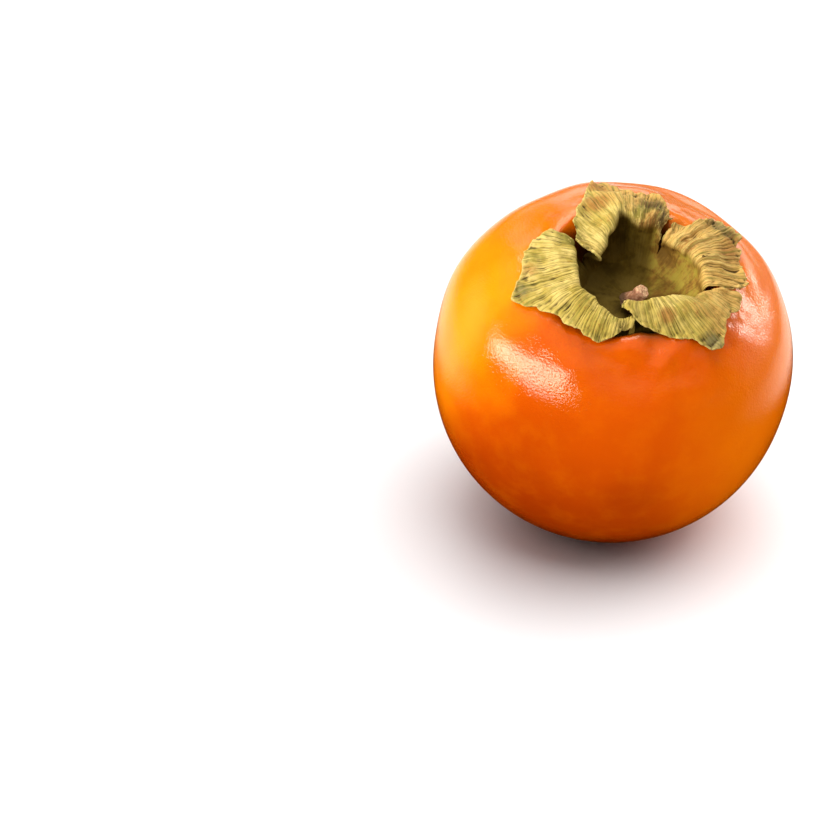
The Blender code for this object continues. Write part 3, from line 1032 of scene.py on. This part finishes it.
# %% [markdown]
# ## The bark and the style
# The stub is red-brown bark, and towards its foot, down in the cup, it is painted nearly black as
# shade. Its cut end shows paler wood. The cut is a plane across the stub's own axis, so the mask is
# the distance of a place from that plane, which is a dot product with the axis. The style tip is
# only dry, dark fibre.

# %% Paint the stem
BARK, PALE_BARK, FOOT_SHADE = (0.27, 0.11, 0.05), (0.42, 0.21, 0.11), (0.06, 0.03, 0.008)
CUT_WOOD, DARK_WOOD = (0.56, 0.34, 0.18), (0.38, 0.17, 0.09)
CUT_HEIGHT = 4.75
cut_place = Vector(own(stem_foot + CUT_HEIGHT * MM * stem_axis))
own_axis = Vector(own(MIDDLE + MM * stem_axis))

bark = Paint("stem_bark", Roughness=0.8, Specular_IOR_Level=0.25)
bark_place = bark.own_mm()
grain = bark.noise(bark_place, 1.2, detail=4.0, roughness=0.65)
from_cut = bark.node("VectorMath", {"operation": "SUBTRACT"}, {0: bark_place, 1: cut_place})
past_cut = bark.node("VectorMath", {"operation": "DOT_PRODUCT"}, {0: from_cut, 1: own_axis}, 1)
tone = bark.mix(grain.rise(0.4, 0.65), BARK, PALE_BARK)
# Painted shade: towards its foot, down in the cup, the bark goes nearly black.
tone = bark.mix(past_cut.rise(-2.2, -4.0) * 0.85, tone, FOOT_SHADE)
wood = bark.mix(grain.rise(0.45, 0.6), CUT_WOOD, DARK_WOOD)
tone = bark.mix(past_cut.rise(-0.1, 0.35), tone, wood)
bark.feed(bark.shader, {"Base Color": tone, "Normal": bark.bump(grain, 0.3)})
bark.on(stem)
print("the cut is at", [round(v, 1) for v in cut_place], "mm from the middle")

# %% Paint the style tip
DRY_FIBRE, PALE_FIBRE = (0.05, 0.03, 0.015), (0.16, 0.09, 0.04)
dry = Paint("style_dry", Roughness=0.85)
fibres = dry.noise(dry.own_mm(), 2.0, detail=3.0)
dry.feed(dry.shader, {
    "Base Color": dry.mix(fibres.rise(0.4, 0.6), DRY_FIBRE, PALE_FIBRE),
    "Normal": dry.bump(fibres, 0.2),
})
dry.on(tip)
print("style_dry has", len(dry.tree.nodes), "nodes")

# %% [markdown]
# ## The room
# The fruit lies on a white studio table, lit softly from all sides. The floor is one plain pale
# plane, so large that its edge is far away. It is hidden from reflections, because its pale
# light would grey the dark, rich underside of the fruit.

# %% The floor
FLOOR_SIZE, FLOOR_GREY = 40, 0.86
bpy.ops.object.select_all(action="DESELECT")
bpy.ops.mesh.primitive_plane_add(size=FLOOR_SIZE)
floor = bpy.context.object
floor.name = "table_floor"
pale = Paint("pale_floor", Roughness=0.7, Base_Color=(FLOOR_GREY, FLOOR_GREY, FLOOR_GREY, 1.0))
pale.on(floor)
floor.visible_glossy = False
print("the floor is", FLOOR_SIZE, "m wide")

# %% [markdown]
# The room itself glows. Overhead it is pale, behind the fruit is a bright band, at the right a
# broad glow, and at the left and the back a small bright patch each. A glossy skin mirrors them
# at its rims, which is what tells the eye that it is round and shiny. Below the horizon a strip
# of white paper does the same for the lower rim. To the camera the backdrop is plain white.

# %% The glow of the room
WARM, WHITE = (1.0, 0.9, 0.76), (1.0, 1.0, 1.0)
room = bpy.data.worlds.new("room")
bpy.context.scene.world = room
room.use_nodes = True
air = Nodes(room.node_tree)
ray = air.node("TexCoord", {}, {}, "Generated")
across, back, height = air.parts(ray)


def towards(way):
    """How far a ray of the room goes towards one direction, from -1 to 1."""
    return air.node("VectorMath", {"operation": "DOT_PRODUCT"}, {
        0: ray, 1: Vector(way).normalized(),
    }, 1)


behind = back.rise(0.1, 0.5) * across.rise(-0.4, 0.0)
beside = across.rise(0.2, 0.8) * back.rise(-0.2, 0.15)
band = height.rise(0.08, 0.18) * height.rise(0.42, 0.32)
sky = 0.06 + 0.9 * height.rise(0.4, 0.9) + 2.6 * band * behind + 0.8 * beside
sky = sky * height.rise(-0.1, 0.0)
patches = towards((-0.9, 0.4, 0.15)).rise(0.93, 0.985) * 0.7
patches = patches + towards((-0.16, 0.76, 0.62)).rise(0.965, 0.99) * 1.6
strip = height.rise(-0.08, -0.25) * height.rise(-0.5, -0.4)
paper = strip * (back.rise(0.1, 0.5) + 0.5 * beside) * 1.2
seen = air.node("LightPath", {}, {}, "Is Camera Ray")
glow = (sky + patches + paper) * (1 - seen) + seen
colour = air.mix(height.rise(-0.1, 0.15), WARM, WHITE)
colour = air.mix(seen, colour, WHITE)
air.feed(room.node_tree.nodes["Background"], {"Color": colour, "Strength": glow})
print("nodes in the room's glow:", len(air.tree.nodes))

# %% [markdown]
# Five soft lights do the rest. A large window above shapes the fruit, a long light low at the
# left draws its highlight, and a small one at the right a second. They would also whiten the
# floor until no shadow is left, so light linking lets them reach only the fruit. A fill light
# from low at the right reaches only the skin, and shows in no reflection. The table has a light
# of its own, which throws the one soft shadow.

# %% The lights


def soft_light(name, way, distance, wide, tall, watts, roll=0.0):
    """A soft light in a direction from the fruit, facing it. Lengths are in metres."""
    light = bpy.data.lights.new(name, "AREA")
    light.shape, light.size, light.size_y, light.energy = "RECTANGLE", wide, tall, watts
    holder = bpy.data.objects.new(name, light)
    bpy.context.scene.collection.objects.link(holder)
    holder.location = MIDDLE + Vector(way).normalized() * distance
    holder.rotation_euler = (MIDDLE - holder.location).to_track_quat("-Z", "Y").to_euler()
    holder.rotation_euler.rotate_axis("Z", math.radians(roll))
    return holder


def shine_only_on(name, pieces, lights):
    """Light linking: these lights reach only these pieces."""
    group = bpy.data.collections.new(name)
    for piece in pieces:
        group.objects.link(piece)
    for light in lights:
        light.light_linking.receiver_collection = group


whole = (fruit, cup, stem, tip, *sheets.values())
shine_only_on("on_the_fruit", whole, (
    soft_light("window_above", (-0.10, 0.30, 0.95), distance=1.5, wide=1.1, tall=1.1, watts=25),
    soft_light("long_light_left", (-0.81, -0.49, 0.33),
               distance=0.9, wide=0.88, tall=0.22, watts=15, roll=8),
    soft_light("light_right", (0.86, 0.44, 0.30), distance=1.0, wide=0.16, tall=0.14, watts=1.2),
))
fill = soft_light("fill_right", (0.85, -0.45, -0.25), distance=1.0, wide=0.8, tall=0.8, watts=34)
fill.visible_glossy = False
shine_only_on("on_the_skin", (fruit,), (fill,))
shine_only_on("on_the_table", (floor,), (
    soft_light("table_light", (0.15, -0.05, 0.95), distance=1.5, wide=1.7, tall=1.7, watts=26),
))
print("lights:", ", ".join(sorted(light.name for light in bpy.data.lights)))

# %% [markdown]
# ## The camera
# The fruit is seen from in front and 32 degrees above, through a long lens half a metre away,
# which keeps it round. The camera looks past the fruit's left side, so that the fruit sits right
# of the middle of the picture. Standard view keeps white paper white and the orange bright.

# %% The camera
VIEW_DOWN = math.radians(32)
LENS, SENSOR = 100.0, 36.0
# How far the camera stands from the middle of the fruit: back, to the left and down, in mm.
AWAY, LEFT, BELOW = 491.15, 43.99, 9.97

look = Vector((0, math.cos(VIEW_DOWN), -math.sin(VIEW_DOWN)))
up = Vector((0, math.sin(VIEW_DOWN), math.cos(VIEW_DOWN)))
camera = bpy.data.objects.new("camera", bpy.data.cameras.new("camera"))
bpy.context.scene.collection.objects.link(camera)
camera.data.lens, camera.data.sensor_width, camera.data.clip_start = LENS, SENSOR, 0.01
camera.location = MIDDLE - MM * (AWAY * look + LEFT * x_way + BELOW * up)
camera.rotation_euler = look.to_track_quat("-Z", "Y").to_euler()
bpy.context.scene.camera = camera
bpy.context.scene.view_settings.view_transform = "Standard"
print("the camera is at", [round(v, 3) for v in camera.location])
